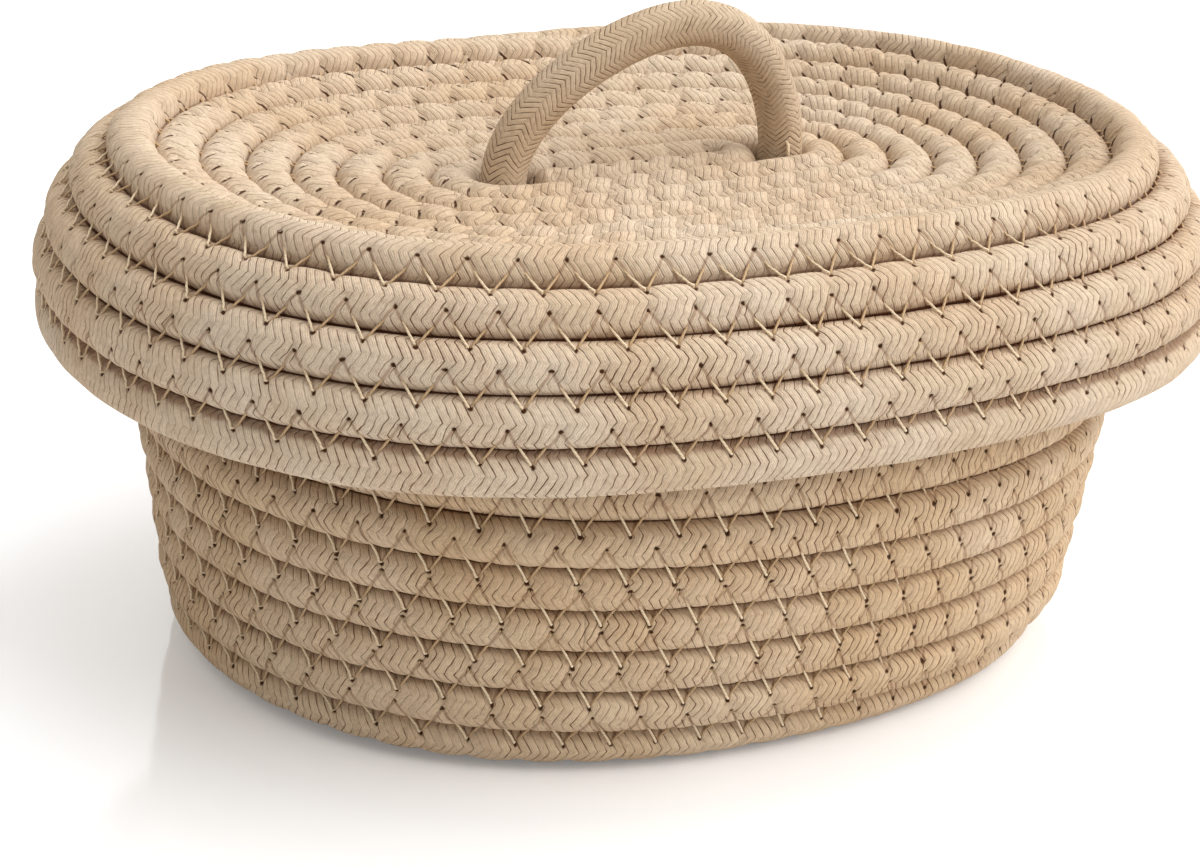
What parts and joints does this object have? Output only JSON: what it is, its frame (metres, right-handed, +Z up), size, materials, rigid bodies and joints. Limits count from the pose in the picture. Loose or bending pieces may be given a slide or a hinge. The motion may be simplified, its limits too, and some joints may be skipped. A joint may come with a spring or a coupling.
{
  "type": "lidded rope basket",
  "caption": "Oval basket coiled from thick cotton rope, with a flaring overlapping rope lid that lifts off by a rope handle.",
  "frame": {"origin": "middle of the basket's footprint, on the ground that its base stands on", "axes": "+Z up, X along the long side of the oval, -Y towards the side that the picture shows"},
  "size_m": [0.3005, 0.2368, 0.1591],
  "materials": {
    "cotton_rope": "matte"
  },
  "bodies": {
    "basket": {"basket_rope_coil": "cotton_rope"},
    "lid": {"lid_rope_coil": "cotton_rope", "handle_root_left": "cotton_rope", "handle_root_right": "cotton_rope", "handle_tail_left": "cotton_rope", "handle_tail_right": "cotton_rope"},
    "handle": {"handle_arch": "cotton_rope"}
  },
  "joints": [
    {"name": "lid_lift", "type": "slide", "parent": "basket", "child": "lid", "axis": [0, 0, 1], "range_m": [0, 0.12]},
    {"name": "handle_lean", "type": "hinge", "parent": "lid", "child": "handle", "pos_m": [0, -0.00195, 0.11979], "axis": [1, 0, 0], "range_deg": [-35, 35], "stiffness_Nm_per_rad": 0.05, "deforming": ["handle_root_left", "handle_root_right"]}
  ]
}
